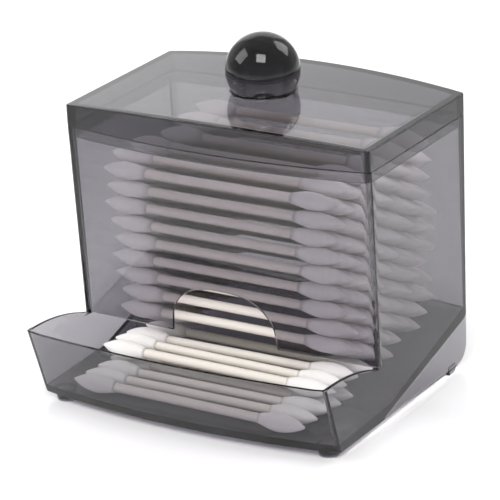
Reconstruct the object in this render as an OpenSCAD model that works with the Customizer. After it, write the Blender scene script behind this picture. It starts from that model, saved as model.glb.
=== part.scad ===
// Cotton swab dispenser: a clear smoke-grey box with a lift-off lid and a ball knob.
// A sloping floor leads the swabs through a gap under the front wall into an open tray.
// +X runs along the swabs, -Y is the tray side, +Z is up.
// The origin is on the table, under the middle of the whole object.

/* [Box] */
// Width over the side walls, at the rim
box_w = 96; // [90:0.5:110]
// Depth over the corners, at the rim
box_d = 53.5; // [50:0.5:60]
// Height of the rim that the lid stands on
rim_z = 74.7; // [70:0.1:82]
// Wall thickness
wall = 1; // [0.8:0.1:1.6]
// How far each side wall leans in by the table
side_draft = 0.6; // [0:0.1:1]
// How far the front wall leans in by its lower edge
front_lean = 3; // [1:0.5:5]
// Height of the front wall's lower edge at its ends
front_edge_z = 17.9; // [17:0.1:20]
// How far the middle of that edge is arched up
edge_rise = 0.9; // [0.2:0.1:2]
// Outward bow of the front wall at the rim
front_bow_top = 5; // [2:0.1:6]
// Outward bow of the front wall at its lower edge
front_bow_low = 2.6; // [1:0.1:4]
// Outward bow of the back wall
back_bow = 1.8; // [0.5:0.1:4]
// Radius of the upright outer corners
edge_r = 0.9; // [0.5:0.1:1.5]
// Radius in the upright inner corners, at the rim
corner_r_top = 2.5; // [2:0.5:4]
// Radius in the upright inner corners, near the floor
corner_r_low = 1; // [0.8:0.1:2]

/* [Finger notch] */
// Width of the notch in the front wall
notch_w = 34; // [20:1:40]
// Height of the notch above the wall's lower edge
notch_h = 15.6; // [8:0.1:18]
// Squareness of the arch: 2 is an ellipse
notch_power = 2.5; // [2:0.1:4]

/* [Tray] */
// Reach of the tray's lip in front of the box's middle, at its corners
lip_y = 53; // [50:0.5:58]
// Reach of the tray's foot in front of the box's middle, at its corners
lip_foot_y = 46.1; // [44:0.5:50]
// Height of the lip
lip_z = 23; // [22:0.1:23.2]
// Outward bow of the lip's top
lip_bow_top = 3; // [1:0.1:5]
// Outward bow of the lip's foot
lip_bow_low = 4.6; // [1:0.1:5]
// Radius of the side rims' long curve
side_rim_r = 68; // [60:1:90]
// Height of the tray's underside in front
tray_under_z = 2.4; // [2:0.1:4]
// Height of the tray's floor in front
tray_floor_z = 4.7; // [4.4:0.1:5.4]

/* [Slope] */
// Place where the tray's floor turns up into the slope
slope_y = -17.5; // [-20:0.5:-14]
// Height of the floor there
slope_z = 5.2; // [5:0.1:6]
// Height of the slope where it meets the back wall
slope_back_z = 17.5; // [16:0.1:19]
// Thickness of the slope at the back
slope_back_t = 3.4; // [2.2:0.1:4]
// Radius of the side walls' rear lower corner
heel_r = 5.5; // [3:0.5:8]

/* [Lid] */
// Height of the skirt
skirt_h = 6; // [4:0.1:10]
// Rise of the crowned top, side to middle
crown = 2.6; // [1:0.1:4]
// Thickness of the locating lip
lip_t = 1; // [0.8:0.1:1.4]
// Depth of the locating lip below the rim
lip_drop = 3.4; // [2:0.1:5]
// Gap between the locating lip and the box
lid_gap = 0.3; // [0.25:0.05:0.5]

/* [Knob] */
// Radius of the ball
ball_r = 10.4; // [8:0.1:14]
// Height of the ball's middle above its seat
ball_up = 6; // [5:0.1:9]
// Diameter of the thin ring under the ball
ring_d = 18.4; // [14:0.1:20]
// Thickness of the ring
ring_t = 1; // [0.6:0.1:2]

/* [Swabs] */
// Length of a swab
swab_l = 74; // [70:0.5:76]
// Diameter of the paper stick
stick_d = 2.6; // [2:0.1:3]
// Greatest diameter of the cotton bud
bud_d = 5.1; // [4.6:0.1:5.1]
// Length of the cotton bud
bud_l = 14; // [10:0.5:16]
// How far the stick stops short of the bud's tip
stick_short = 3; // [2:0.5:5]
// Distance between swabs that lie one above the other
layer_pitch = 5.3; // [5.3:0.05:5.6]
// Distance between the upright columns of swabs
column_pitch = 4.5; // [4.5:0.05:5]
// Angle by which the columns lean forward, along the front wall
pile_lean = 4.5; // [3:0.1:5]
// Place of the foremost column's foot
pile_y = -20.6; // [-20.8:0.1:-20]
// Height of that foot
pile_z = 10.8; // [9:0.1:11]
// Highest place of a swab's middle
pile_top_z = 67.6; // [50:0.5:68]

/* [Hidden] */
smoke = [0.45, 0.44, 0.47, 0.55];
dark_smoke = [0.2, 0.2, 0.22, 0.9];
paper = [0.9, 0.86, 0.8];
cotton = [0.97, 0.96, 0.94];

half_d = box_d / 2;
half_w = box_w / 2;
back_y = half_d;
// The whole object is set so that its length is centred on the origin
front_reach = lip_y + lip_bow_top;
shift_y = (front_reach - half_d - back_bow) / 2;
lean_rate = front_lean / (rim_z - front_edge_z);
bow_rate = (front_bow_top - front_bow_low) / (rim_z - front_edge_z);
lip_rate = (lip_y - lip_foot_y) / (lip_z - tray_under_z);
lip_bow_rate = (lip_bow_top - lip_bow_low) / (lip_z - tray_under_z);
slope_a = atan((slope_back_z - slope_z) / (back_y - wall - slope_y));
crown_r = (pow(half_w, 2) + pow(crown, 2)) / (2 * crown);
lid_side_z = rim_z + skirt_h;
lid_top_z = lid_side_z + crown;
// Lower edge of the back wall, just under the slope's end
back_low_z = slope_back_z - 0.6;
// Height up to which the side walls are drawn apart from the box
side_top_z = 25;
seat_z = lid_top_z - 0.15;
ball_z = seat_z + ball_up;
// Width of the floor and the lip, whose ends lie inside the side walls
floor_w = box_w - 2 * side_draft - wall;
// Small step that keeps joined faces of the body from lying in one plane
skin = 0.03;
arc_steps = 24;
corner_steps = 6;

// Half width over the side walls at height z
function half_at(z) = half_w - side_draft * (rim_z - z) / rim_z;
// Front wall's outer face at its corners, and its bow, at height z
function front_at(z) = -half_d + lean_rate * (rim_z - z);
function front_bow_at(z) = front_bow_top - bow_rate * (rim_z - z);
// Lip's outer face at its corners, and its bow, at height z
function lip_at(z) = -lip_foot_y - lip_rate * (z - tray_under_z);
function lip_bow_at(z) = lip_bow_low + lip_bow_rate * (z - tray_under_z);
// Points of a shallow arc from x = -w to x = w, bowed by b from y
function arc_points(w, y, b) =
    let (r = (w * w + b * b) / (2 * abs(b)), s = sign(b))
    [for (i = [0:arc_steps])
        let (x = -w + 2 * w * i / arc_steps)
        [x, y + s * (sqrt(r * r - x * x) - (r - abs(b)))]];

// Lays the Y-Z outline of a piece across the width w, centred
module across(w) {
    translate([-w / 2, 0, 0])
        rotate([90, 0, 90])
            linear_extrude(w)
                children();
}

module placed() {
    translate([0, shift_y, 0]) children();
}

// Points of the box's outline at height z, set in by inset, with corners of radius r.
// Front and back are arcs, the sides are straight, and each corner is an arc between them.
function box_points(z, inset, r) =
    let (
        front_r = bow_r(half_at(z), front_bow_at(z)),
        front_cy = front_at(z) - front_bow_at(z) + front_r,
        back_r = bow_r(half_at(z), back_bow),
        back_cy = back_y + back_bow - back_r,
        cx = half_at(z) - inset - r,
        front_y = front_cy - sqrt(pow(front_r - inset - r, 2) - cx * cx),
        rear_y = back_cy + sqrt(pow(back_r - inset - r, 2) - cx * cx),
        fa = atan2(front_y - front_cy, cx),
        ba = atan2(rear_y - back_cy, cx))
    concat(
        corner([cx, front_y], r, fa, 0),
        corner([cx, rear_y], r, 0, ba),
        between_corners(back_cy, back_r - inset, ba, 180 - ba),
        corner([-cx, rear_y], r, 180 - ba, 180),
        corner([-cx, front_y], r, 180, 180 - fa),
        between_corners(front_cy, front_r - inset, 180 - fa, 360 + fa));
function bow_r(w, b) = (w * w + b * b) / (2 * b);
function corner(c, r, a1, a2) =
    [for (i = [0:corner_steps])
        let (a = a1 + (a2 - a1) * i / corner_steps)
        c + r * [cos(a), sin(a)]];
function between_corners(cy, r, a1, a2) =
    [for (i = [1:arc_steps - 1])
        let (a = a1 + (a2 - a1) * i / arc_steps)
        [r * cos(a), cy + r * sin(a)]];

function reversed(list) = [for (i = [len(list) - 1:-1:0]) list[i]];
// Radius in the upright inner corners at height z
function inner_r_at(z) =
    corner_r_low + (corner_r_top - corner_r_low) * (z - back_low_z) / (rim_z - back_low_z);

// Solid between two outlines of as many points each, at heights z1 and z2
module loft(low, z1, high, z2) {
    n = len(low);
    polyhedron(
        points = concat([for (p = low) [p[0], p[1], z1]], [for (p = high) [p[0], p[1], z2]]),
        faces = concat(
            [[for (i = [0:n - 1]) i]],
            [[for (i = [2 * n - 1:-1:n]) i]],
            [for (i = [0:n - 1]) [i, n + i, n + (i + 1) % n]],
            [for (i = [0:n - 1]) [i, n + (i + 1) % n, (i + 1) % n]]));
}

// Points of the tray's outline at height z, open towards the box, set in by inset
function tray_points(z, inset) =
    let (w = half_at(z) - inset)
    concat(arc_points(w, lip_at(z) + inset, -lip_bow_at(z)), [[w, 0], [-w, 0]]);

// Leaning block over the box's walls, and the space between them
module box_block() {
    loft(box_points(back_low_z, 0, edge_r), back_low_z, box_points(rim_z, 0, edge_r), rim_z);
}
module box_space() {
    low = back_low_z - 12;
    high = rim_z + 20;
    loft(box_points(low, wall, inner_r_at(low)), low,
        box_points(high, wall, inner_r_at(high)), high);
}

// What is cut from the front wall: all below its lower edge, and the arched notch
module front_cut() {
    w = half_at(front_edge_z) - wall + 2 * skin;
    arch = [for (a = [0:6:180])
        let (c = cos(a), s = sin(a), q = 2 / notch_power)
        [notch_w / 2 * sign(c) * pow(abs(c), q), front_edge_z + notch_h * pow(abs(s), q)]];
    translate([0, -10, 0])
        rotate([90, 0, 0])
            linear_extrude(40)
                union() {
                    polygon(concat([[-notch_w / 2, 12]], reversed(arch), [[notch_w / 2, 12]]));
                    polygon(concat([[-w, 10]], arc_points(w, front_edge_z, edge_rise), [[w, 10]]));
                }
}

// Y-Z outline of a side wall's lower part: tray side with its curved rim, and rounded heel
module side_outline() {
    edge_y = front_at(front_edge_z) + 2;
    crest_y = -lip_y + 2.7;
    crest_z = lip_z + 0.25;
    rim = [for (i = [0:12])
        let (y = edge_y + (-lip_y - 3 - edge_y) * i / 12)
        [y, crest_z - side_rim_r + sqrt(pow(side_rim_r, 2) - pow(y - crest_y, 2))]];
    heel_z = tray_under_z - 0.8;
    rear_y = back_y - 5 * skin;
    intersection() {
        polygon(concat(
            [[rear_y, rim[0][1]]],
            rim,
            [[-lip_y - 3, 0], [rear_y, 0]]));
        union() {
            polygon([
                [lip_at(side_top_z) + skin, side_top_z],
                [lip_at(tray_under_z) + skin, tray_under_z + skin],
                [rear_y - heel_r, heel_z], [rear_y, heel_z + heel_r], [rear_y, side_top_z]]);
            translate([rear_y - heel_r, heel_z + heel_r]) circle(heel_r, $fn = 64);
        }
    }
}

// One flat side wall beside the tray and below the slope; side is -1 or 1
module side_wall(side) {
    low = half_at(0) - skin;
    high = half_at(side_top_z) - skin;
    t = wall - 2 * skin;
    intersection() {
        across(box_w + 2) side_outline();
        translate([0, 40, 0])
            rotate([90, 0, 0])
                linear_extrude(120)
                    polygon([
                        [side * low, 0], [side * high, side_top_z],
                        [side * (high - t), side_top_z], [side * (low - t), 0]]);
    }
}

// Block over the tray's lip and sides, or between them, from height z1 to z2
module tray_block(inset, z1, z2) {
    loft(tray_points(z1, inset), z1, tray_points(z2, inset), z2);
}

// Bowed lip of the tray
module tray_lip() {
    intersection() {
        difference() {
            tray_block(0, tray_under_z, lip_z);
            tray_block(wall, tray_under_z - 10, lip_z + 10);
        }
        translate([0, -lip_y + 2, rim_z / 2])
            cube([floor_w, 20, rim_z], center = true);
    }
}

// Tray floor and slope, as one plate between the side walls
module floor_plate() {
    back_in = back_y - wall;
    back_out = back_y + back_bow;
    intersection() {
        across(floor_w)
            polygon([
                [-lip_y, tray_under_z], [slope_y - 3.5, tray_under_z + 0.2],
                [back_in, slope_back_z - slope_back_t], [back_out, back_low_z],
                [back_out, back_low_z + 1], [back_y, slope_back_z + wall * tan(slope_a)],
                [slope_y, slope_z], [-lip_y, tray_floor_z - 0.1]]);
        union() {
            tray_block(wall / 2, tray_under_z - 1, tray_floor_z + 4);
            linear_extrude(side_top_z) polygon(box_points(front_edge_z, wall / 2, edge_r));
            translate([-half_w, -30, 0]) cube([box_w, 40, side_top_z]);
        }
    }
}

// Small moulded feet: two round pads in front, two ribs under the side walls behind
module feet() {
    for (side = [-1, 1]) {
        translate([side * 42.2, -43, 0]) cylinder(h = tray_under_z + 0.5, d = 6, $fn = 48);
        translate([side * 46.6 - 0.6, 16, 0]) cube([1.2, 4, 2.4]);
    }
}

module dispenser_body() {
    color(smoke) placed() {
        difference() {
            box_block();
            box_space();
            front_cut();
        }
        side_wall(-1);
        side_wall(1);
        tray_lip();
        floor_plate();
        feet();
    }
}

// Solid under the crowned surface that lies depth below the lid's top
module under_crown(depth) {
    w = half_w + 2;
    rise = crown_r - sqrt(crown_r * crown_r - w * w);
    translate([0, half_d + 10, 0])
        rotate([90, 0, 0])
            linear_extrude(box_d + 20)
                polygon(concat(
                    [[-w, rim_z - 20]],
                    arc_points(w, lid_top_z - rise - depth, rise),
                    [[w, rim_z - 20]]));
}

// Upright block in the box's mouth from height low to high, set in by inset.
// It follows the leaning walls at the locating lip's lower edge, so that it goes in straight.
module mouth_block(inset, r, low, high) {
    translate([0, 0, low])
        linear_extrude(high - low)
            polygon(box_points(rim_z - lip_drop, inset, r));
}

module lid() {
    lip_in = wall + lid_gap;
    lip_r = corner_r_top - lid_gap;
    color(smoke) placed() difference() {
        union() {
            intersection() {
                translate([0, 0, rim_z])
                    linear_extrude(skirt_h + crown + 1)
                        polygon(box_points(rim_z, 0, edge_r));
                under_crown(0);
            }
            mouth_block(lip_in, lip_r, rim_z - lip_drop, rim_z + 1);
        }
        intersection() {
            mouth_block(lip_in + lip_t, lip_r - lip_t, rim_z - lip_drop - 1, lid_top_z);
            under_crown(wall);
        }
        // flat seat for the knob
        translate([0, 0, seat_z]) cylinder(h = 1, d = ring_d + 0.1, $fn = 96);
    }
}

module knob() {
    color(dark_smoke) placed() {
        translate([0, 0, seat_z]) cylinder(h = ring_t, d = ring_d, $fn = 96);
        intersection() {
            translate([0, 0, ball_z]) sphere(ball_r, $fn = 96);
            translate([-ball_r, -ball_r, seat_z + ring_t / 2]) cube(2 * ball_r + 10);
        }
    }
}

// A layer's swabs, as [y, z] places: one in each column, every other one half a step up
function layer_spots(k) =
    [for (i = [0:12])
        let (across = column_pitch * i,
            up = layer_pitch * (k - 1 + i % 2 / 2),
            y = pile_y + across * cos(pile_lean) - up * sin(pile_lean),
            z = pile_z + across * sin(pile_lean) + up * cos(pile_lean))
        if (spot_is_free(y, z)) [y, z]];
// A spot inside the box, off its walls and slope, and clear of the swabs in the tray
function spot_is_free(y, z) =
    z > slope_z + bud_d / 2 && z > slope_top_at(y) + bud_d / 2 / cos(slope_a) + 0.05
    && z < pile_top_z && y < back_y - wall - bud_d / 2 - 0.2
    && y > (z > front_edge_z - bud_d / 2 ? front_in_at(z) + bud_d / 2 + 0.2 : -19)
    && min([for (p = tray_spots) norm([y - p[0], z - p[1]])]) > bud_d + 0.05;
// Height of the slope's top at y
function slope_top_at(y) = slope_z + (y - slope_y) * tan(slope_a);
// Front wall's inner face beside a bud
function front_in_at(z) =
    front_at(z) - front_bow_at(z) * (1 - pow((swab_l / 2 - bud_l / 2) / half_w, 2)) + wall;

// Swabs in the tray, as [y, z] places: five on the floor and three on those
tray_low_z = 7.7;
tray_high_z = 12.45;
tray_spots = [
    [-45, tray_low_z], [-39.5, tray_low_z], [-34, tray_low_z],
    [-28.5, tray_low_z], [-23, tray_low_z],
    [-31.2, tray_high_z], [-25.7, tray_high_z], [-20.2, tray_high_z]];

// Small shift of a swab along X: those at the back lie further to the right
function shift_x(y, z) = 1.6 + 0.055 * y - 0.03 * (z - 40) + 0.9 * sin(131 * y + 57 * z);

// Names of the nodes; only layers that hold a swab have one
LAYERS = len([for (k = [1:20]) if (len(layer_spots(k)) > 0) k]);
TRAY = len(tray_spots);
function two(n) = n < 10 ? str("0", n) : str(n);

// Cotton buds at both ends of a swab, bored for the stick
module bud_pair() {
    r = bud_d / 2;
    n = 10;
    bore = swab_l / 2 - stick_short;
    for (side = [-1, 1])
        rotate([0, side * 90, 0])
            translate([0, 0, swab_l / 2 - bud_l])
                difference() {
                    rotate_extrude($fn = 40)
                        polygon(concat(
                            [[0, 0], [stick_d / 2 + 0.15, 0]],
                            [for (i = [1:n - 1])
                                let (t = i / n)
                                [bud_r(t), bud_l * t]],
                            [[0.35, bud_l], [0, bud_l]]));
                    translate([0, 0, -1])
                        cylinder(h = bud_l - stick_short + 1, d = stick_d + 0.04, $fn = 32);
                }
}

// Radius of a bud at the share t of its length: full in the middle, pointed at the tip
function bud_r(t) =
    let (full = bud_d / 2, start = stick_d / 2 + 0.15)
    t < 0.45 ? start + (full - start) * sin(90 * t / 0.45)
    : full * pow(cos(90 * (t - 0.45) / 0.56), 0.75);

module stick() {
    rotate([0, 90, 0])
        translate([0, 0, -swab_l / 2 + stick_short + 0.02])
            cylinder(h = swab_l - 2 * stick_short - 0.04, d = stick_d, $fn = 32);
}

module at_spot(p) {
    translate([shift_x(p[0], p[1]), p[0], p[1]]) children();
}

module layer_sticks(k) {
    color(paper) placed() for (p = layer_spots(k)) at_spot(p) stick();
}

module layer_buds(k) {
    color(cotton) placed() for (p = layer_spots(k)) at_spot(p) bud_pair();
}

module tray_swab_stick(k) {
    color(paper) placed() at_spot(tray_spots[k - 1]) stick();
}

module tray_swab_buds(k) {
    color(cotton) placed() at_spot(tray_spots[k - 1]) bud_pair();
}

dispenser_body();
lid();
knob();
for (k = [1:LAYERS]) layer_sticks(k);
for (k = [1:LAYERS]) layer_buds(k);
for (k = [1:TRAY]) tray_swab_stick(k);
for (k = [1:TRAY]) tray_swab_buds(k);
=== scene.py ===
import math
import random

import bmesh
import bpy
from bpy.props import FloatProperty, FloatVectorProperty, IntProperty, PointerProperty
from mathutils import Matrix, Vector


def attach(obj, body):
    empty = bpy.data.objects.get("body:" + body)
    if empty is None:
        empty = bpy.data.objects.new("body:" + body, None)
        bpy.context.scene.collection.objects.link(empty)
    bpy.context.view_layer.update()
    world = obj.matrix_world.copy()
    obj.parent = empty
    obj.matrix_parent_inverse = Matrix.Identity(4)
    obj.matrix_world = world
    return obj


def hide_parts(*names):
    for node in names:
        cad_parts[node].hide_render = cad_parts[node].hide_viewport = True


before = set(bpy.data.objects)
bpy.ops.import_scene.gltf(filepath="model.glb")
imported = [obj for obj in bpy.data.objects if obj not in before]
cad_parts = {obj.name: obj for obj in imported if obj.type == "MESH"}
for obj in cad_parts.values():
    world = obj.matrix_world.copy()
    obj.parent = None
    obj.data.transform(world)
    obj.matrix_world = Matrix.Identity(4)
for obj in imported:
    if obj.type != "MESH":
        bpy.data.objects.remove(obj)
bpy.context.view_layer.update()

bl_info = {
    "name": "Cotton Swab Dispenser",
    "version": (1, 0, 0),
    "blender": (4, 5, 0),
    "location": "3D View > Sidebar > Dispenser",
    "description": "Builds a clear smoke-grey dispenser filled with cotton swabs",
    "category": "Object",
}

MM = 0.001
# The two moving bodies of the frame
BODY = "box"
COVER = "cover"
# How far the back wall's lower edge lies under the slope's end
BACK_EDGE_DROP = 0.6 * MM
# How deep the knob's seat is sunk into the lid's top
SEAT_DEPTH = 0.15 * MM
# How far the rear of the side walls lies below the tray's underside
HEEL_DROP = 0.8 * MM
# Crest of the side rims: behind the lip's corner, and above the lip
CREST_BACK = 2.7 * MM
CREST_UP = 0.25 * MM


def length(name, description, default, low=0.0):
    return FloatProperty(name=name, description=description, default=default, min=low,
                         unit="LENGTH", subtype="DISTANCE", precision=5)


def colour(name, description, default):
    return FloatVectorProperty(name=name, description=description, default=default,
                               subtype="COLOR", size=3, min=0.0, max=1.0)


class DispenserSizes(bpy.types.PropertyGroup):
    """Sizes of the box, the tray and the lid"""
    box_w: length("Box width", "Width over the side walls at the rim", 0.096)
    box_d: length("Box depth", "Depth over the corners at the rim", 0.0535)
    rim_z: length("Rim height", "Height of the rim that the lid stands on", 0.0747)
    wall: length("Wall", "Wall thickness", 0.001)
    side_draft: length("Side draft", "How far a side wall leans in by the table", 0.0006)
    front_lean: length("Front lean", "How far the front wall leans in by its edge", 0.003)
    front_edge_z: length("Front edge", "Height of the front wall's edge at its ends", 0.018)
    edge_rise: length("Edge rise", "How far the middle of that edge is arched up", 0.0008)
    front_bow_top: length("Front bow at the rim", "Outward bow of the front wall", 0.005)
    front_bow_low: length("Front bow at the edge", "Outward bow of the front wall", 0.0026)
    back_bow: length("Back bow", "Outward bow of the back wall", 0.0018)
    edge_r: length("Outer corner", "Radius of the upright outer corners", 0.0009)
    corner_r_top: length("Inner corner at the rim", "Radius in the inner corners", 0.0025)
    corner_r_low: length("Inner corner at the floor", "Radius in the inner corners", 0.001)
    notch_w: length("Notch width", "Width of the finger notch", 0.034)
    notch_h: length("Notch height", "Height of the finger notch", 0.0156)
    lip_y: length("Lip reach", "Reach of the lip in front of the box's middle", 0.053)
    lip_foot_y: length("Lip foot reach", "Reach of the tray's foot", 0.0461)
    lip_z: length("Lip height", "Height of the lip", 0.023)
    lip_bow_top: length("Lip bow", "Outward bow of the lip's top", 0.003)
    lip_bow_low: length("Lip foot bow", "Outward bow of the lip's foot", 0.0046)
    side_rim_r: length("Side rim radius", "Radius of the side rims' long curve", 0.067)
    tray_under_z: length("Tray underside", "Height of the tray's underside", 0.0024)
    tray_floor_z: length("Tray floor", "Height of the tray's floor in front", 0.0047)
    slope_y: length("Slope foot", "How far in front of the middle the slope starts", 0.0175)
    slope_z: length("Slope foot height", "Height of the floor where the slope starts", 0.0052)
    slope_back_z: length("Slope back height", "Height of the slope at the back", 0.0175)
    slope_back_t: length("Slope thickness", "Thickness of the slope at the back", 0.0034)
    heel_r: length("Heel", "Radius of the side walls' rear lower corner", 0.0055)
    skirt_h: length("Skirt", "Height of the lid's skirt", 0.006)
    crown: length("Crown", "Rise of the lid's top from the sides to the middle", 0.0026)
    lip_t: length("Locating lip", "Thickness of the lid's locating lip", 0.001)
    lip_drop: length("Locating lip depth", "Depth of that lip below the rim", 0.0034)
    lid_gap: length("Lid gap", "Gap between the locating lip and the box", 0.0003)
    ball_r: length("Knob radius", "Radius of the ball knob", 0.0104)
    ball_up: length("Knob height", "Height of the ball's middle above its seat", 0.006)
    ring_d: length("Ring", "Diameter of the ring under the ball", 0.0184)
    ring_t: length("Ring thickness", "Thickness of that ring", 0.001)
    edge_round: length("Edge rounding", "Radius of the moulded edges", 0.0003)


class SwabSizes(bpy.types.PropertyGroup):
    """Sizes of the swabs and how they lie"""
    swab_l: length("Swab length", "Length of a swab", 0.074)
    stick_d: length("Stick", "Diameter of the paper stick", 0.0026)
    bud_d: length("Bud", "Greatest diameter of a bud", 0.0051)
    bud_l: length("Bud length", "Length of a bud", 0.014)
    stick_short: length("Stick end", "How far the stick stops short of the tip", 0.003)
    layer_pitch: length("Layer pitch", "Distance between swabs one above the other", 0.0053)
    column_pitch: length("Column pitch", "Distance between the upright columns", 0.0045)
    pile_lean: FloatProperty(name="Pile lean", description="Forward lean of the columns",
                             default=math.radians(4.5), subtype="ANGLE")
    pile_y: length("Pile front", "How far in front of the middle the first column stands", 0.0206)
    pile_z: length("Pile foot", "Height of the first column's foot", 0.0108)
    pile_top_z: length("Pile top", "Highest place of a swab's middle", 0.0676)
    seed: IntProperty(name="Seed", description="Seed of the small turns", default=7)


class DispenserLooks(bpy.types.PropertyGroup):
    """Colours and finishes"""
    smoke: colour("Smoke", "Tint of the clear plastic", (0.08, 0.06, 0.12))
    smoke_depth: FloatProperty(name="Smoke depth", description="Absorption for each metre",
                               default=850.0, min=0.0)
    knob: colour("Knob", "Tint of the dark knob", (0.08, 0.06, 0.10))
    knob_depth: FloatProperty(name="Knob depth", description="Absorption for each metre",
                              default=190.0, min=0.0)
    paper: colour("Paper", "Colour of the sticks", (0.80, 0.755, 0.69))
    cotton: colour("Cotton", "Colour of the buds", (0.83, 0.815, 0.79))
    floor: colour("Floor", "Colour of the floor", (1.0, 1.0, 1.0))


class Form:
    """The places and curves that follow from the sizes, in metres, in the part's frame"""

    def __init__(self, s):
        self.s = s
        self.half_w = s.box_w / 2
        self.half_d = s.box_d / 2
        reach = s.lip_y + s.lip_bow_top
        self.shift = (reach - self.half_d - s.back_bow) / 2
        self.wall_h = s.rim_z - s.front_edge_z
        self.lean_rate = s.front_lean / self.wall_h
        self.bow_rate = (s.front_bow_top - s.front_bow_low) / self.wall_h
        lip_h = s.lip_z - s.tray_under_z
        self.lip_rate = (s.lip_y - s.lip_foot_y) / lip_h
        self.lip_bow_rate = (s.lip_bow_top - s.lip_bow_low) / lip_h
        self.slope_rate = (s.slope_back_z - s.slope_z) / (self.half_d - s.wall + s.slope_y)
        self.slope_a = math.atan(self.slope_rate)
        self.back_low_z = s.slope_back_z - BACK_EDGE_DROP
        self.lid_top_z = s.rim_z + s.skirt_h + s.crown
        self.seat_z = self.lid_top_z - SEAT_DEPTH
        self.ball_z = self.seat_z + s.ball_up
        self.crest_y = -s.lip_y + CREST_BACK
        self.crest_z = s.lip_z + CREST_UP

    def half_at(self, z):
        return self.half_w - self.s.side_draft * (self.s.rim_z - z) / self.s.rim_z

    def front_at(self, z):
        return -self.half_d + self.lean_rate * (self.s.rim_z - z)

    def front_bow(self, z):
        return self.s.front_bow_top - self.bow_rate * (self.s.rim_z - z)

    def share(self, x):
        return 1 - (x / self.half_w) ** 2

    def front_y(self, x, z):
        return self.front_at(z) - self.front_bow(z) * self.share(x)

    def back_y(self, x):
        return self.half_d + self.s.back_bow * self.share(x)

    def lip_front_y(self, x, z):
        up = z - self.s.tray_under_z
        foot = -self.s.lip_foot_y - self.lip_rate * up
        return foot - (self.s.lip_bow_low + self.lip_bow_rate * up) * self.share(x)

    def side_rim_z(self, y):
        r = self.s.side_rim_r
        return self.crest_z - r + math.sqrt(r * r - (y - self.crest_y) ** 2)

    def front_edge(self, x):
        inner = self.half_w - self.s.wall
        return self.s.front_edge_z + self.s.edge_rise * (1 - (x / inner) ** 2)

    def inner_r(self, z):
        s = self.s
        share = (z - self.back_low_z) / (s.rim_z - self.back_low_z)
        return s.corner_r_low + (s.corner_r_top - s.corner_r_low) * share

    def floor_z(self, y):
        s = self.s
        rate = (s.slope_z - s.tray_floor_z + 0.1 * MM) / (s.lip_y - s.slope_y)
        shallow = s.slope_z + rate * (y + s.slope_y)
        steep = s.slope_z + self.slope_rate * (y + s.slope_y)
        return max(shallow, steep)

    def lid_z(self, x):
        return self.lid_top_z - self.s.crown * (1 - self.share(x))


def deselect_all():
    for obj in bpy.context.selected_objects:
        obj.select_set(False)


def make_active(obj):
    deselect_all()
    bpy.context.view_layer.objects.active = obj
    obj.select_set(True)


class Editing:
    """Edit mode on one object, with nothing selected at the start"""

    def __init__(self, obj):
        self.obj = obj

    def __enter__(self):
        make_active(self.obj)
        bpy.ops.object.mode_set(mode="EDIT")
        bpy.ops.mesh.select_all(action="DESELECT")
        return bmesh.from_edit_mesh(self.obj.data)

    def __exit__(self, *_):
        bpy.ops.object.mode_set(mode="OBJECT")


def settle(obj):
    """Put the object's place into its mesh"""
    make_active(obj)
    bpy.ops.object.transform_apply(location=True, rotation=True, scale=True)


def named(name):
    obj = bpy.context.active_object
    obj.name = name
    obj.data.name = name
    return obj


def loft(name, rings):
    """Closed solid through rings of as many points each, drawn out ring by ring"""
    count = len(rings[0])
    deselect_all()
    bpy.ops.mesh.primitive_circle_add(vertices=count, radius=1.0, fill_type="NGON")
    obj = named(name)
    with Editing(obj) as mesh:
        mesh.verts.ensure_lookup_table()
        ring = list(mesh.verts)
        for vertex, point in zip(ring, rings[0]):
            vertex.co = point
        bpy.ops.mesh.select_all(action="SELECT")
        for points in rings[1:]:
            places = {tuple(v.co): i for i, v in enumerate(ring)}
            bpy.ops.mesh.extrude_region_move(TRANSFORM_OT_translate={"value": (0, 0, 0)})
            mesh = bmesh.from_edit_mesh(obj.data)
            fresh = [None] * count
            for vertex in mesh.verts:
                if vertex.select:
                    fresh[places[tuple(vertex.co)]] = vertex
            for vertex, point in zip(fresh, points):
                vertex.co = point
            ring = fresh
        bmesh.update_edit_mesh(obj.data)
        bpy.ops.mesh.select_all(action="SELECT")
        bpy.ops.mesh.normals_make_consistent(inside=False)
    return obj


def apply_modifier(obj, kind, **settings):
    make_active(obj)
    modifier = obj.modifiers.new(kind.title(), kind)
    for key, value in settings.items():
        setattr(modifier, key, value)
    bpy.ops.object.modifier_apply(modifier=modifier.name)


def combine(obj, tool, operation):
    """Cut the tool from the object, or join it on, and drop the tool"""
    apply_modifier(obj, "BOOLEAN", operation=operation, object=tool, solver="MANIFOLD")
    bpy.data.objects.remove(tool, do_unlink=True)


def clean(obj, near):
    """Merge corners closer than near, and drop edges inside flat faces"""
    with Editing(obj):
        bpy.ops.mesh.select_all(action="SELECT")
        bpy.ops.mesh.remove_doubles(threshold=near)
        bpy.ops.mesh.dissolve_limited(angle_limit=math.radians(0.05))


def bevel_edges(obj, test, radius, segments):
    """Round the edges whose middle passes the test"""
    with Editing(obj) as mesh:
        for edge in mesh.edges:
            middle = (edge.verts[0].co + edge.verts[1].co) / 2
            if test(edge, middle):
                edge.select_set(True)
        bmesh.update_edit_mesh(obj.data)
        bpy.ops.mesh.bevel(offset=radius, segments=segments, affect="EDGES",
                           clamp_overlap=False)


def round_all(obj, radius, sharp=30):
    """Round every edge that turns by more than sharp degrees, and smooth the faces"""
    apply_modifier(obj, "BEVEL", width=radius, segments=2, limit_method="ANGLE",
                   angle_limit=math.radians(sharp), use_clamp_overlap=False,
                   miter_outer="MITER_ARC", harden_normals=False)
    make_active(obj)
    bpy.ops.object.shade_smooth()
    apply_modifier(obj, "WEIGHTED_NORMAL", weight=100, keep_sharp=False)


def copy_at(source, matrix):
    """A copy with its own mesh, with its place in the mesh"""
    obj = source.copy()
    obj.data = source.data.copy()
    obj.data.transform(matrix)
    bpy.context.scene.collection.objects.link(obj)
    return obj


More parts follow.
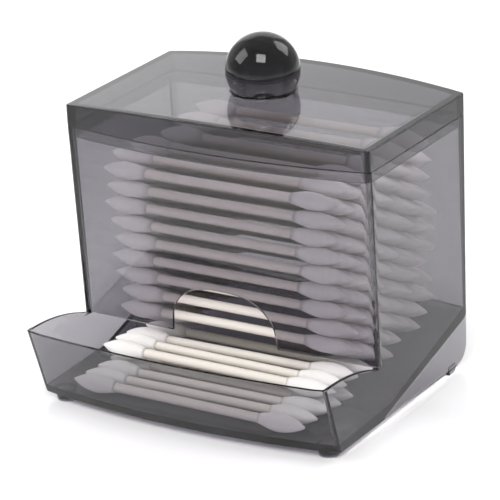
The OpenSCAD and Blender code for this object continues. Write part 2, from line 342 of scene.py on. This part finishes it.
def joined(name, parts):
    deselect_all()
    for part in parts:
        part.select_set(True)
    bpy.context.view_layer.objects.active = parts[0]
    if len(parts) > 1:
        bpy.ops.object.join()
    return named(name)


def dress(obj, material):
    obj.data.materials.clear()
    obj.data.materials.append(material)


class Socket:
    """An output of a node tree, on which Python's signs add Math nodes"""

    def __init__(self, tree, output):
        self.tree = tree
        self.output = output

    def math(self, operation, other=None, swap=False):
        values = [self, other] if other is not None else [self]
        if swap:
            values.reverse()
        return self.tree.node("ShaderNodeMath", dict(operation=operation),
                              dict(enumerate(values)))

    def __add__(self, other):
        return self.math("ADD", other)

    def __sub__(self, other):
        return self.math("SUBTRACT", other)

    def __mul__(self, other):
        return self.math("MULTIPLY", other)

    def __truediv__(self, other):
        return self.math("DIVIDE", other)

    def __radd__(self, other):
        return self.math("ADD", other, swap=True)

    def __rsub__(self, other):
        return self.math("SUBTRACT", other, swap=True)

    def __rmul__(self, other):
        return self.math("MULTIPLY", other, swap=True)


class Tree:
    """A material's or a world's nodes, emptied first"""

    def __init__(self, owner):
        owner.use_nodes = True
        self.nodes = owner.node_tree.nodes
        self.links = owner.node_tree.links
        self.nodes.clear()

    def node(self, kind, settings=None, values=None, out=0):
        made = self.nodes.new(kind)
        for key, value in (settings or {}).items():
            setattr(made, key, value)
        for key, value in (values or {}).items():
            if isinstance(value, Socket):
                self.links.new(value.output, made.inputs[key])
            else:
                made.inputs[key].default_value = value
        if not made.outputs:
            return None
        return Socket(self, made.outputs[out])

    def place(self, scale=(1, 1, 1)):
        """The object's own coordinates, in metres, stretched by scale"""
        where = self.node("ShaderNodeTexCoord", out="Object")
        return self.node("ShaderNodeMapping", None, {"Vector": where, "Scale": scale})

    def blend(self, share, low, high):
        """Mix of two colours"""
        return self.node("ShaderNodeMix", dict(data_type="RGBA"),
                         {0: share, 6: low, 7: high}, out=2)

    def noise(self, where, scale, detail=2.0, roughness=0.5):
        return self.node("ShaderNodeTexNoise", None,
                         {"Vector": where, "Scale": scale, "Detail": detail,
                          "Roughness": roughness})

    def bump(self, height, strength, distance):
        return self.node("ShaderNodeBump", None,
                         {"Height": height, "Strength": strength, "Distance": distance})

    def surface(self, shader, volume=None):
        values = {"Surface": shader}
        if volume is not None:
            values["Volume"] = volume
        self.node("ShaderNodeOutputMaterial", None, values)


def rgba(tint):
    return (tint[0], tint[1], tint[2], 1.0)


def smoke_material(looks):
    """Clear smoke-grey plastic: the tint grows with the thickness looked through"""
    material = bpy.data.materials.new("clear_smoke_plastic")
    tree = Tree(material)
    where = tree.place()
    waves = tree.noise(where, 45.0, 1.0)
    grain = tree.noise(where, 900.0, 2.0)
    clear = tree.node("ShaderNodeBsdfPrincipled", None, {
        "Base Color": (1.0, 1.0, 1.0, 1.0),
        "Roughness": grain * 0.02 + 0.015,
        "IOR": 1.49,
        "Transmission Weight": 1.0,
        "Normal": tree.bump(waves, 0.03, 0.002)})
    # light that goes on to the swabs and the floor is brightened at each surface,
    # so that the tint which is seen does not leave them in the dark
    through = tree.node("ShaderNodeBsdfTransparent", None, {"Color": (1.7, 1.68, 1.68, 1.0)})
    path = tree.nodes.new("ShaderNodeLightPath")
    lets_by = tree.node("ShaderNodeMath", dict(operation="MAXIMUM"), {
        0: Socket(tree, path.outputs["Is Shadow Ray"]),
        1: Socket(tree, path.outputs["Is Diffuse Ray"])})
    shader = tree.node("ShaderNodeMixShader", None, {0: lets_by, 1: clear, 2: through})
    smoke = tree.node("ShaderNodeVolumeAbsorption", None, {
        "Color": rgba(looks.smoke), "Density": looks.smoke_depth})
    tree.surface(shader, smoke)
    return material


def knob_material(looks):
    """Solid dark smoke plastic, polished: nearly black through the middle of the ball"""
    material = bpy.data.materials.new("dark_smoke_plastic")
    tree = Tree(material)
    where = tree.place()
    grain = tree.noise(where, 700.0, 2.0)
    waves = tree.noise(where, 60.0, 1.0)
    ball = tree.node("ShaderNodeBsdfPrincipled", None, {
        "Base Color": (1.0, 1.0, 1.0, 1.0),
        "Roughness": grain * 0.02 + 0.01,
        "IOR": 1.49,
        "Transmission Weight": 1.0,
        "Normal": tree.bump(waves, 0.04, 0.002)})
    smoke = tree.node("ShaderNodeVolumeAbsorption", None, {
        "Color": rgba(looks.knob), "Density": looks.knob_depth})
    tree.surface(ball, smoke)
    return material


def cotton_material(looks):
    """Wound white cotton: soft fibres that run along the bud, and tufts"""
    material = bpy.data.materials.new("wound_cotton")
    tree = Tree(material)
    along = tree.noise(tree.place((260, 1500, 1500)), 1.0, 3.0, 0.6)
    tufts = tree.noise(tree.place((420, 420, 420)), 1.0, 2.0)
    tint = tree.blend(tufts, rgba([0.93 * c for c in looks.cotton]), rgba(looks.cotton))
    tree.surface(tree.node("ShaderNodeBsdfPrincipled", None, {
        "Base Color": tint,
        "Roughness": 0.95,
        "Specular IOR Level": 0.15,
        "Sheen Weight": 0.25,
        "Sheen Roughness": 0.6,
        "Normal": tree.bump(along * 0.6 + tufts * 0.7, 0.5, 0.0004)}))
    return material


def paper_material(looks):
    """Rolled paper with fine fibres and faint patches of tone"""
    material = bpy.data.materials.new("rolled_paper")
    tree = Tree(material)
    fibre = tree.noise(tree.place((900, 2600, 2600)), 1.0, 3.0)
    patch = tree.noise(tree.place((90, 300, 300)), 1.0, 2.0)
    tint = tree.blend(patch, rgba([0.92 * c for c in looks.paper]), rgba(looks.paper))
    tree.surface(tree.node("ShaderNodeBsdfPrincipled", None, {
        "Base Color": tint,
        "Roughness": 0.62,
        "Specular IOR Level": 0.35,
        "Normal": tree.bump(fibre, 0.15, 0.0002)}))
    return material


class DISPENSER_OT_camera(bpy.types.Operator):
    """Camera at the photograph's viewing angle"""
    bl_idname = "dispenser.camera"
    bl_label = "Camera"

    # Direction from the object to the camera, and the camera's turn about it
    azimuth = 32.178
    elevation = 21.221
    roll = -2.662
    # Lens on a sensor of 36 mm, distance, and sideways and upward place, in metres
    lens = 216.8
    distance = 0.85599
    aside = -0.005787
    above = 0.033863

    def execute(self, context):
        form = Form(context.scene.dispenser_sizes)
        az, el, roll = (math.radians(a) for a in (self.azimuth, self.elevation, self.roll))
        back = Vector((math.sin(az) * math.cos(el), -math.cos(az) * math.cos(el), math.sin(el)))
        right = Vector((math.cos(az), math.sin(az), 0))
        up = back.cross(right)
        turned = right * math.cos(roll) + up * math.sin(roll)
        upright = up * math.cos(roll) - right * math.sin(roll)
        place = right * self.aside + up * self.above + back * self.distance
        place += Vector((0, form.shift, 0))
        deselect_all()
        bpy.ops.object.camera_add()
        camera = context.active_object
        camera.name = "camera"
        camera.data.lens = self.lens
        camera.data.sensor_width = 36
        camera.data.clip_start = 0.01
        camera.matrix_world = Matrix((turned, upright, back)).transposed().to_4x4()
        camera.location = place
        context.scene.camera = camera
        return {"FINISHED"}


class DISPENSER_OT_stage(bpy.types.Operator):
    """White floor, white surroundings and soft studio lamps"""
    bl_idname = "dispenser.stage"
    bl_label = "Stage"

    floor_size = 6.0
    # Strength of the room: as seen, as it lights, and what is taken off when it is mirrored
    room_seen = 1.0
    room_light = 0.65
    mirrored_less = 0.2
    # Name, place in metres, size and power of each lamp; the last is mirrored in the lid's top
    lamps = (
        ("key_lamp", (0.35, -0.75, 1.1), 0.6, 9.0),
        ("fill_lamp", (-0.9, -0.5, 0.8), 0.7, 5.0),
        ("back_lamp", (0.5, 0.9, 0.9), 0.7, 5.0),
        ("wall_lamp", (-1.24, 1.97, 0.9), 2.0, 9.0))
    # Point that the lamps look at
    lamp_aim = (0, 0, 0.04)

    def execute(self, context):
        looks = context.scene.dispenser_looks
        deselect_all()
        bpy.ops.mesh.primitive_plane_add(size=self.floor_size, location=(0, 0, 0))
        floor = named("floor")
        material = bpy.data.materials.new("white_floor")
        tree = Tree(material)
        tree.surface(tree.node("ShaderNodeBsdfPrincipled", None, {
            "Base Color": rgba(looks.floor),
            "Roughness": 0.12}))
        dress(floor, material)
        self.world(context)
        for lamp in self.lamps:
            self.lamp(*lamp)
        context.scene.view_settings.view_transform = "Standard"
        context.scene.cycles.max_bounces = 32
        context.scene.cycles.transmission_bounces = 28
        context.scene.cycles.transparent_max_bounces = 32
        return {"FINISHED"}

    def world(self, context):
        world = bpy.data.worlds.new("white_room")
        context.scene.world = world
        tree = Tree(world)
        path = tree.nodes.new("ShaderNodeLightPath")
        seen = Socket(tree, path.outputs["Is Camera Ray"])
        through = Socket(tree, path.outputs["Is Transmission Ray"])
        mirrored = Socket(tree, path.outputs["Is Glossy Ray"])
        seen = tree.node("ShaderNodeMath", dict(operation="MAXIMUM"), {0: seen, 1: through})
        # mirrored but not seen through: a duller room, which keeps the edges dark
        dull = mirrored * (1.0 - through)
        strength = (seen * (self.room_seen - self.room_light) + self.room_light
                    - dull * self.mirrored_less)
        room = tree.node("ShaderNodeBackground", None, {
            "Color": (1.0, 1.0, 1.0, 1.0), "Strength": strength})
        tree.node("ShaderNodeOutputWorld", None, {"Surface": room})

    def lamp(self, name, place, size, power):
        deselect_all()
        bpy.ops.object.light_add(type="AREA", location=place)
        lamp = bpy.context.active_object
        lamp.name = name
        lamp.data.size = size
        lamp.data.energy = power
        aim = Vector(self.lamp_aim) - Vector(place)
        lamp.rotation_euler = aim.to_track_quat("-Z", "Y").to_euler()


class DISPENSER_OT_body(bpy.types.Operator):
    """Box, slope and tray as one clear moulding"""
    bl_idname = "dispenser.body"
    bl_label = "Box and tray"

    corner_steps = 7
    # Squareness of the notch's arch: 2 would be an ellipse
    notch_power = 2.5
    # Height to which the outer form is low in front of the hopper, between the side walls
    passage_z = 14 * MM
    # Round pads in front and ribs behind: sizes, and places from the box's middle
    pad_r = 3 * MM
    pad_x, pad_y = 42.2 * MM, -43 * MM
    rib_size = (1.2 * MM, 4 * MM, 2.6 * MM)
    rib_x, rib_y = 46.6 * MM, 18 * MM

    def execute(self, context):
        s = context.scene.dispenser_sizes
        self.form = Form(s)
        self.arch = self.arch_points(s)
        body = self.outer()
        combine(body, self.space(), "DIFFERENCE")
        combine(body, self.notch(), "DIFFERENCE")
        combine(body, self.under_slope(), "DIFFERENCE")
        for foot in self.feet():
            combine(body, foot, "UNION")
        clean(body, 0.008 * MM)
        round_all(body, s.edge_round)
        body.name = "clear_box"
        dress(body, smoke_material(context.scene.dispenser_looks))
        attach(body, BODY)
        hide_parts("dispenser_body")
        return {"FINISHED"}

    def placed(self, x, y, z):
        return Vector((x, y + self.form.shift, z))

    def arch_points(self, s):
        """Half of the notch's arch, from its foot at the right to its top"""
        squareness = 2 / self.notch_power
        steps = [0] + list(range(18, 91, 8))
        return [(s.notch_w / 2 * math.cos(math.radians(a)) ** squareness if a < 90 else 0.0,
                 s.front_edge_z + s.notch_h * math.sin(math.radians(a)) ** squareness)
                for a in steps]

    def stations(self):
        """Places along X at which the walls are drawn, in the middle part"""
        arch = [x for x, z in self.arch]
        outside = [self.arch[0][0] + 2.4 * MM * i for i in range(1, 12)]
        right = sorted(arch + outside)
        return [-x for x in reversed(right) if x > 0] + right

    def outer(self):
        form, s = self.form, self.form.s
        edge = form.half_w
        # the upright corners are rounded by a quarter circle of outlines
        steps = [1 - math.sin(math.radians(90 * i / 4)) for i in range(5)]
        setbacks = [1 - math.cos(math.radians(90 * i / 4)) for i in range(5)]
        rings = []
        for setback, back in zip(setbacks, steps):
            rings.append(self.outline(-edge + setback * s.edge_r, back * s.edge_r, True))
        rings.append(self.outline(-edge + s.wall + 0.2 * MM, 0, True))
        rings += [self.outline(x, 0, False) for x in self.stations()]
        rings.append(self.outline(edge - s.wall - 0.2 * MM, 0, True))
        for setback, back in reversed(list(zip(setbacks, steps))):
            rings.append(self.outline(edge - setback * s.edge_r, back * s.edge_r, True))
        return loft("body_outer", rings)

    def outline(self, x, inset, by_side):
        """Y-Z outline at x; beside the walls it follows the side rims"""
        form, s = self.form, self.form.s
        side = math.copysign(1, x) if by_side else 0
        x_at = lambda z: x + side * (form.half_at(z) - form.half_w)
        foot_z = form.side_rim_z(form.front_y(x, s.front_edge_z)) if by_side else self.passage_z
        points = [(form.front_y(x, s.rim_z) + inset, s.rim_z),
                  (form.front_y(x, foot_z) + inset, foot_z)]
        lip_top_y = form.lip_front_y(x, s.lip_z)
        start = form.front_y(x, foot_z)
        end = lip_top_y + s.wall + 1.5 * MM
        for i in range(1, 13):
            y = start + (end - start) * i / 12
            z = form.side_rim_z(y) if by_side else (self.passage_z if i < 12 else s.lip_z)
            points.append((y, z))
        front = lip_top_y + inset
        points.append((front, form.side_rim_z(front) if by_side else s.lip_z))
        low_z = s.tray_under_z
        points.append((form.lip_front_y(x, low_z) + inset, low_z))
        heel_z = s.tray_under_z - HEEL_DROP
        rear = form.back_y(x) - inset
        for i in range(9):
            a = math.radians(-90 + 90 * i / 8)
            points.append((rear - s.heel_r + s.heel_r * math.cos(a),
                           heel_z + s.heel_r + s.heel_r * math.sin(a)))
        points.append((rear, s.rim_z))
        return [self.placed(x_at(z), y, z) for y, z in points]

    def space(self):
        """All the space inside: hopper, passage under the front wall and tray"""
        form, s = self.form, self.form.s
        steps = self.corner_steps
        corner = [(1 - math.cos(math.radians(90 * i / steps)),
                   1 - math.sin(math.radians(90 * i / steps))) for i in range(steps + 1)]
        rings = [self.space_ring(-1, None, c) for c in corner]
        rings += [self.space_ring(0, x, (0, 0)) for x in self.stations()]
        rings += [self.space_ring(1, None, c) for c in reversed(corner)]
        return loft("body_space", rings)

    def space_ring(self, side, x, corner):
        """Y-Z outline of the space; corner is the share of the inner corner's radius,
        inwards from the side wall and from the front or back wall"""
        form, s = self.form, self.form.s
        top = s.rim_z + 12 * MM

        def at(z, y_of):
            r = form.inner_r(z)
            px = x if side == 0 else side * (form.half_at(z) - s.wall - corner[0] * r)
            return self.placed(px, y_of(px, r * corner[1]), z)

        edge_x = x if side == 0 else side * (form.half_at(s.front_edge_z) - s.wall)
        edge_z = form.front_edge(edge_x)
        lip_in = lambda z: (lambda px, r: form.lip_front_y(px, z) + s.wall)
        wall_in = lambda z: (lambda px, r: form.front_y(px, z) + s.wall + r)
        back_in = lambda px, r: form.back_y(px) - s.wall - r
        low_y = form.lip_front_y(0, s.tray_floor_z) + s.wall
        floor_low = form.floor_z(low_y)
        back_low = form.floor_z(form.half_d - s.wall)
        points = [
            at(floor_low, lip_in(floor_low)),
            at(s.lip_z + 7 * MM, lip_in(s.lip_z + 7 * MM)),
            at(edge_z + 8 * MM, lambda px, r: form.front_y(px, edge_z) - 6 * MM),
            at(edge_z, lambda px, r: form.front_y(px, edge_z) - 0.3 * MM),
            at(edge_z, wall_in(edge_z)),
            at(top, wall_in(top)),
            at(top, back_in)]
        points.append(at(back_low, back_in))
        points[-1].z = form.floor_z(points[-1].y - form.shift)
        points.append(at(s.slope_z, lambda px, r: -s.slope_y))
        return points

    def notch(self):
        form, s = self.form, self.form.s
        half = self.arch
        arch = half + [(-x, z) for x, z in reversed(half) if x > 0]
        low = 12 * MM
        outline = [(half[0][0], low)] + arch + [(-half[0][0], low)]
        front = -45 * MM
        rear = -14 * MM
        return loft("body_notch", [[self.placed(x, y, z) for x, z in outline]
                                   for y in (front, rear)])

    def under_slope(self):
        """The open space under the slope, between the side walls and out to the back"""
        form, s = self.form, self.form.s
        inner = form.half_d - s.wall
        outline = [
            (-s.slope_y - 6 * MM, -2 * MM), (-s.slope_y - 3.5 * MM, s.tray_under_z + 0.2 * MM),
            (inner, s.slope_back_z - s.slope_back_t),
            (form.half_d + s.back_bow, form.back_low_z),
            (form.half_d + 12 * MM, form.back_low_z + 0.5 * MM),
            (form.half_d + 12 * MM, -2 * MM)]
        return loft("body_under", [
            [self.placed(side * (form.half_at(z) - s.wall), y, z) for y, z in outline]
            for side in (-1, 1)])

    def feet(self):
        """Front pads and rear ribs, which reach from the table into the moulding"""
        pad_h = self.form.s.tray_under_z + 0.5 * MM
        for side in (-1, 1):
            deselect_all()
            bpy.ops.mesh.primitive_cylinder_add(
                vertices=40, radius=self.pad_r, depth=pad_h,
                location=self.placed(side * self.pad_x, self.pad_y, pad_h / 2))
            pad = named("front_pad")
            settle(pad)
            yield pad
            deselect_all()
            bpy.ops.mesh.primitive_cube_add(
                size=1, scale=self.rib_size,
                location=self.placed(side * self.rib_x, self.rib_y, self.rib_size[2] / 2))
            rib = named("rear_rib")
            settle(rib)
            yield rib


class DISPENSER_OT_lid(bpy.types.Operator):
    """Crowned lid with its skirt and locating lip"""
    bl_idname = "dispenser.lid"
    bl_label = "Lid"

    corner_steps = 7

    def execute(self, context):
        s = context.scene.dispenser_sizes
        self.form = Form(s)
        form = self.form
        lid = self.block("lid_outer", 0, s.edge_r, s.rim_z, form.lid_z, 4, s.rim_z)
        inset = s.wall + s.lid_gap
        radius = s.corner_r_top - s.lid_gap
        mouth = self.block("lid_mouth", inset, radius, s.rim_z - s.lip_drop,
                           lambda x: s.rim_z + 1 * MM, self.corner_steps, s.rim_z - s.lip_drop)
        combine(lid, mouth, "UNION")
        hollow = self.block("lid_hollow", inset + s.lip_t, radius - s.lip_t,
                            s.rim_z - s.lip_drop - 1 * MM, lambda x: form.lid_z(x) - s.wall,
                            self.corner_steps, s.rim_z - s.lip_drop)
        combine(lid, hollow, "DIFFERENCE")
        deselect_all()
        bpy.ops.mesh.primitive_cylinder_add(
            vertices=96, radius=(s.ring_d + 0.1 * MM) / 2, depth=1 * MM,
            location=(0, form.shift, form.seat_z + 0.5 * MM))
        seat = named("lid_seat")
        settle(seat)
        combine(lid, seat, "DIFFERENCE")
        clean(lid, 0.01 * MM)
        round_all(lid, 0.3 * MM, 50)
        lid.name = "clear_lid"
        dress(lid, smoke_material(context.scene.dispenser_looks))
        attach(lid, COVER)
        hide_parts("lid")
        return {"FINISHED"}

    def block(self, name, inset, radius, low, top_of, steps, ref):
        """Upright block with the box's outline at height ref, set in, with rounded corners"""
        form, s = self.form, self.form.s
        side_x = form.half_at(ref) - inset
        corner = [(1 - math.cos(math.radians(90 * i / steps)),
                   1 - math.sin(math.radians(90 * i / steps))) for i in range(steps + 1)]
        count = 40
        middle = side_x - radius
        rings = []
        places = [(-side_x + c * radius, b * radius) for c, b in corner]
        places += [(-middle + 2 * middle * i / count, 0) for i in range(1, count)]
        places += [(side_x - c * radius, b * radius) for c, b in reversed(corner)]
        for x, back in places:
            front = form.front_y(x, ref) + inset + back
            rear = form.back_y(x) - inset - back
            top = top_of(x)
            rings.append([Vector((x, y + form.shift, z)) for y, z in
                          ((front, low), (front, top), (rear, top), (rear, low))])
        return loft(name, rings)


class DISPENSER_OT_knob(bpy.types.Operator):
    """Ball knob with a thin ring under it"""
    bl_idname = "dispenser.knob"
    bl_label = "Knob"

    def execute(self, context):
        s = context.scene.dispenser_sizes
        form = Form(s)
        deselect_all()
        bpy.ops.mesh.primitive_uv_sphere_add(segments=96, ring_count=64, radius=s.ball_r,
                                             location=(0, form.shift, form.ball_z))
        ball = named("knob_ball")
        settle(ball)
        cut_z = form.seat_z + s.ring_t / 2
        with Editing(ball):
            bpy.ops.mesh.select_all(action="SELECT")
            bpy.ops.mesh.bisect(plane_co=(0, 0, cut_z), plane_no=(0, 0, 1), use_fill=True,
                                clear_inner=True)
        deselect_all()
        bpy.ops.mesh.primitive_cylinder_add(
            vertices=96, radius=s.ring_d / 2, depth=s.ring_t,
            location=(0, form.shift, form.seat_z + s.ring_t / 2))
        ring = named("knob_ring")
        settle(ring)
        rim = lambda edge, at: edge.calc_face_angle(0) > math.radians(50) and at.z > cut_z
        bevel_edges(ring, rim, 0.35 * MM, 4)
        combine(ball, ring, "UNION")
        clean(ball, 0.01 * MM)
        make_active(ball)
        bpy.ops.object.shade_smooth_by_angle(angle=math.radians(35))
        ball.name = "ball_knob"
        dress(ball, knob_material(context.scene.dispenser_looks))
        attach(ball, COVER)
        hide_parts("knob")
        return {"FINISHED"}


class DISPENSER_OT_swabs(bpy.types.Operator):
    """Cotton swabs, piled on the slope and lying in the tray"""
    bl_idname = "dispenser.swabs"
    bl_label = "Swabs"

    # Columns that are tried, from the front wall to the back
    columns = 13
    # Lower end of the front wall, and how far forward a swab may lie below it
    wall_foot_z = 17.9 * MM
    passage_y = -19 * MM
    # Greatest small turn of a swab, in degrees: in the tray, and in the pile
    tray_turn = 0.6
    pile_turn = 0.35

    def execute(self, context):
        self.sizes = context.scene.dispenser_swabs
        self.form = Form(context.scene.dispenser_sizes)
        looks = context.scene.dispenser_looks
        self.cotton = cotton_material(looks)
        self.paper = paper_material(looks)
        self.draw = random.Random(self.sizes.seed)
        fine = self.bud(20, 14)
        coarse = self.bud(10, 7)
        stick = self.stick(14)
        tray = self.tray_spots()
        for number, spot in enumerate(tray, 1):
            turn = self.turn(spot, self.tray_turn)
            self.piece(f"tray_swab_{number}_stick", [(stick, turn)], self.paper)
            self.piece(f"tray_swab_{number}_buds", self.pair(fine, turn), self.cotton)
        layer = 1
        while True:
            spots = self.layer_spots(layer)
            if not spots:
                break
            turns = [self.turn(spot, self.pile_turn) for spot in spots]
            self.piece(f"layer_{layer:02d}_sticks", [(stick, t) for t in turns], self.paper)
            buds = [part for t in turns for part in self.pair(coarse, t)]
            self.piece(f"layer_{layer:02d}_buds", buds, self.cotton)
            layer += 1
        for source in (fine, coarse, stick):
            bpy.data.objects.remove(source, do_unlink=True)
        return {"FINISHED"}

    def bud_radius(self, t):
        w = self.sizes
        full = w.bud_d / 2
        start = w.stick_d / 2 + 0.15 * MM
        if t < 0.45:
            return start + (full - start) * math.sin(math.radians(90 * t / 0.45))
        return full * math.cos(math.radians(90 * (t - 0.45) / 0.56)) ** 0.75

    def bud(self, sides, steps):
        """One bud along +X, tip outermost, drawn out ring by ring from a circle"""
        w = self.sizes
        rings = [self.circle(w.swab_l / 2 - w.bud_l + 0.3 * MM, w.stick_d / 2 - 0.1 * MM, sides)]
        for i in range(steps):
            t = i / (steps - 0.35)
            rings.append(self.circle(w.swab_l / 2 - w.bud_l * (1 - t), self.bud_radius(t), sides))
        rings.append(self.circle(w.swab_l / 2, 0.3 * MM, sides))
        bud = loft(f"bud_{sides}", rings)
        make_active(bud)
        bpy.ops.object.shade_smooth()
        return bud

    def circle(self, x, r, sides):
        return [Vector((x, r * math.cos(math.tau * i / sides), r * math.sin(math.tau * i / sides)))
                for i in range(sides)]

    def stick(self, sides):
        w = self.sizes
        deselect_all()
        bpy.ops.mesh.primitive_cylinder_add(
            vertices=sides, radius=w.stick_d / 2, depth=w.swab_l - 2 * w.stick_short,
            rotation=(0, math.pi / 2, 0))
        stick = named("paper_stick")
        settle(stick)
        bpy.ops.object.shade_smooth_by_angle(angle=math.radians(40))
        return stick

    def pair(self, bud, turn):
        return [(bud, turn), (bud, turn @ Matrix.Rotation(math.pi, 4, "Z"))]

    def turn(self, spot, degrees):
        """Place of a swab, with a small turn of its own"""
        y, z = spot
        roll = Matrix.Rotation(self.draw.uniform(0, math.tau), 4, "X")
        yaw = Matrix.Rotation(math.radians(self.draw.uniform(-degrees, degrees)), 4, "Z")
        pitch = Matrix.Rotation(math.radians(self.draw.uniform(-degrees, degrees) / 2), 4, "Y")
        place = Matrix.Translation((self.shift_x(y, z), y + self.form.shift, z))
        return place @ yaw @ pitch @ roll

    def shift_x(self, y, z):
        """Small shift of a swab along X: those at the back lie further to the right"""
        wave = math.sin(math.radians(131 * y / MM + 57 * z / MM))
        return (1.6 + 0.055 * y / MM - 0.03 * (z / MM - 40) + 0.9 * wave) * MM

    def tray_spots(self):
        """Places of the tray's swabs: five on the floor and three on those"""
        low, high = 7.7 * MM, 12.45 * MM
        return [(-45 * MM, low), (-39.5 * MM, low), (-34 * MM, low), (-28.5 * MM, low),
                (-23 * MM, low), (-31.2 * MM, high), (-25.7 * MM, high), (-20.2 * MM, high)]

    def layer_spots(self, k):
        """Places of a layer's swabs: one in each column, every other one half a step up"""
        w = self.sizes
        spots = []
        for i in range(self.columns):
            across = w.column_pitch * i
            up = w.layer_pitch * (k - 1 + i % 2 / 2)
            y = across * math.cos(w.pile_lean) - up * math.sin(w.pile_lean) - w.pile_y
            z = across * math.sin(w.pile_lean) + up * math.cos(w.pile_lean) + w.pile_z
            if self.is_free(y, z):
                spots.append((y, z))
        return spots

    def is_free(self, y, z):
        """Whether a swab has room at a place: off the walls and slope, clear of the tray's"""
        form, w, s = self.form, self.sizes, self.form.s
        r = w.bud_d / 2
        front = self.passage_y
        if z > self.wall_foot_z - r:
            reach = (w.swab_l / 2 - w.bud_l / 2) / form.half_w
            front = form.front_at(z) - form.front_bow(z) * (1 - reach ** 2) + s.wall + r + 0.2 * MM
        slope = s.slope_z + form.slope_rate * (y + s.slope_y)
        clear = min(math.hypot(y - ty, z - tz) for ty, tz in self.tray_spots())
        return (s.slope_z + r < z < w.pile_top_z
                and z > slope + r / math.cos(form.slope_a) + 0.05 * MM
                and front < y < form.half_d - s.wall - r - 0.2 * MM
                and clear > w.bud_d + 0.05 * MM)

    def piece(self, node, parts, material):
        """One piece that stands for a node"""
        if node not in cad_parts:
            raise RuntimeError(f"the frame has no node {node}")
        made = joined(f"{node}_fine", [copy_at(source, turn) for source, turn in parts])
        dress(made, material)
        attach(made, BODY)
        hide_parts(node)


class DISPENSER_PT_panel(bpy.types.Panel):
    """Lists the dispenser's operators"""
    bl_label = "Cotton Swab Dispenser"
    bl_idname = "DISPENSER_PT_panel"
    bl_space_type = "VIEW_3D"
    bl_region_type = "UI"
    bl_category = "Dispenser"

    def draw(self, context):
        for operator in OPERATORS:
            self.layout.operator(operator.bl_idname)
        for group in ("dispenser_sizes", "dispenser_swabs", "dispenser_looks"):
            values = getattr(context.scene, group)
            column = self.layout.column()
            for name in values.__annotations__:
                column.prop(values, name)


OPERATORS = (
    DISPENSER_OT_camera,
    DISPENSER_OT_stage,
    DISPENSER_OT_body,
    DISPENSER_OT_lid,
    DISPENSER_OT_knob,
    DISPENSER_OT_swabs,
)
GROUPS = (DispenserSizes, SwabSizes, DispenserLooks)


def register():
    for item in GROUPS + OPERATORS + (DISPENSER_PT_panel,):
        bpy.utils.register_class(item)
    bpy.types.Scene.dispenser_sizes = PointerProperty(type=DispenserSizes)
    bpy.types.Scene.dispenser_swabs = PointerProperty(type=SwabSizes)
    bpy.types.Scene.dispenser_looks = PointerProperty(type=DispenserLooks)


def unregister():
    del bpy.types.Scene.dispenser_looks
    del bpy.types.Scene.dispenser_swabs
    del bpy.types.Scene.dispenser_sizes
    for item in reversed(GROUPS + OPERATORS + (DISPENSER_PT_panel,)):
        bpy.utils.unregister_class(item)


def main():
    register()
    bpy.ops.dispenser.camera()
    bpy.ops.dispenser.stage()
    bpy.ops.dispenser.body()
    bpy.ops.dispenser.lid()
    bpy.ops.dispenser.knob()
    bpy.ops.dispenser.swabs()


if __name__ == "__main__":
    main()
